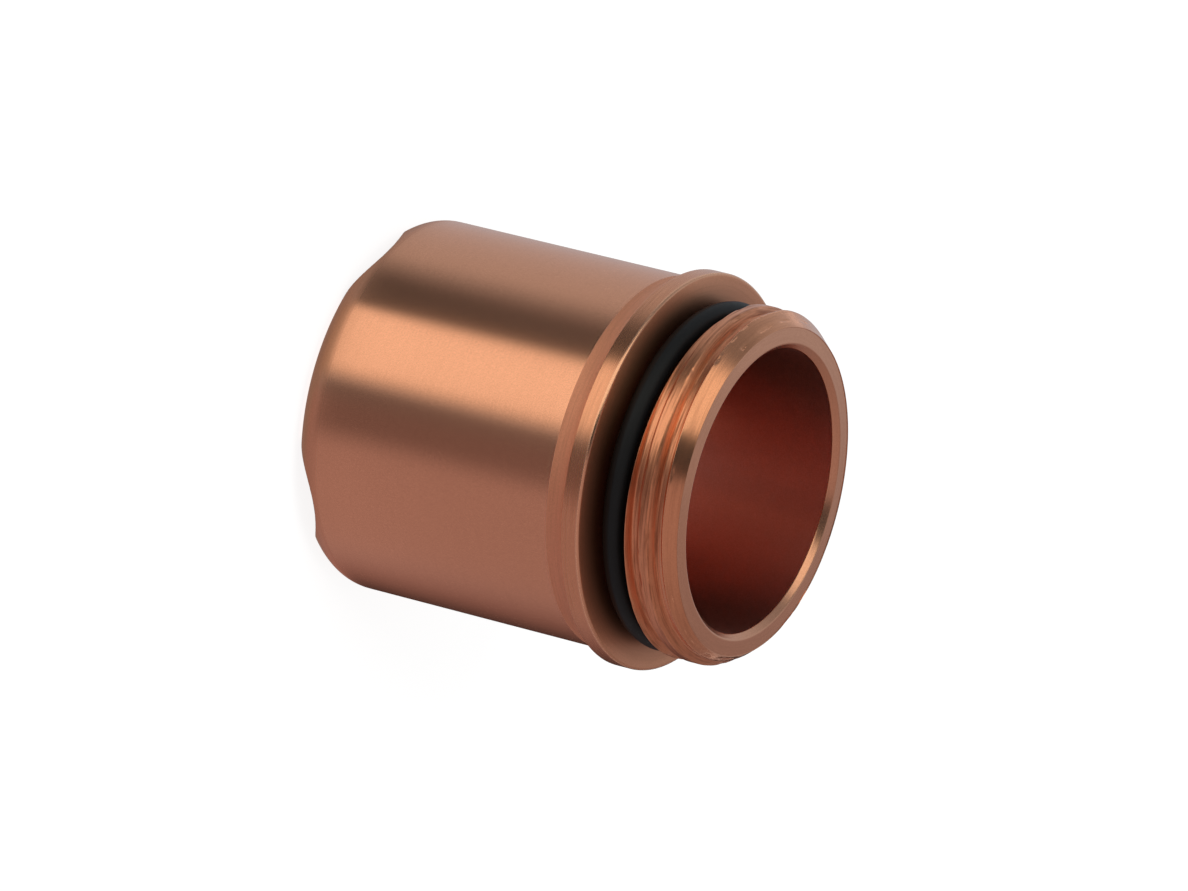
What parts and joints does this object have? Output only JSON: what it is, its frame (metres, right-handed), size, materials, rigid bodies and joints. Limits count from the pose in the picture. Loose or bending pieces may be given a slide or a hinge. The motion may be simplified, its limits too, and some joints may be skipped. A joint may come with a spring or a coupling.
{
  "type": "plasma torch drag shield",
  "caption": "Turned copper drag shield: cylindrical cap with a notched crown and front orifice, a flange, an O-ring in its groove and a short male thread round an open bore.",
  "frame": {"origin": "centre of the crown face, which is the lowest plane of the part", "axes": "+Z along the shield's axis, from the notched crown towards the threaded end; +X through the middle of one notch"},
  "size_m": [0.0222, 0.0222, 0.024],
  "materials": {
    "copper": "satin turned copper",
    "ring_rubber": "matt moulded nitrile rubber"
  },
  "bodies": {
    "root": {"shield_body": "copper", "o_ring": "ring_rubber"}
  },
  "joints": []
}
